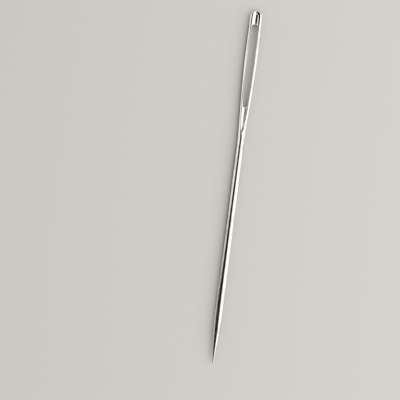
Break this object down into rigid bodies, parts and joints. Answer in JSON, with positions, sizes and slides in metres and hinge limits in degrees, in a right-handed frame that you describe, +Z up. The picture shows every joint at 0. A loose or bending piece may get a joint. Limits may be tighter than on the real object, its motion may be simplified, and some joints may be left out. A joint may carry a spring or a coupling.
{
  "type": "yarn needle",
  "caption": "Large-eye steel hand needle for yarn: flattened head with a long oval eye and gutters, round shank and ogive point.",
  "frame": {"origin": "under the middle of the needle's length, on the surface that its shank lies on", "axes": "+X along the needle from its point to the crown of its head, +Z up, straight through the eye, and +Y across the flat of the head"},
  "size_m": [0.07, 0.0026, 0.0016],
  "materials": {
    "plated_steel": "polished"
  },
  "bodies": {
    "root": {"point": "plated_steel", "shank": "plated_steel", "throat": "plated_steel", "left_limb": "plated_steel", "right_limb": "plated_steel", "crown": "plated_steel"}
  },
  "joints": []
}
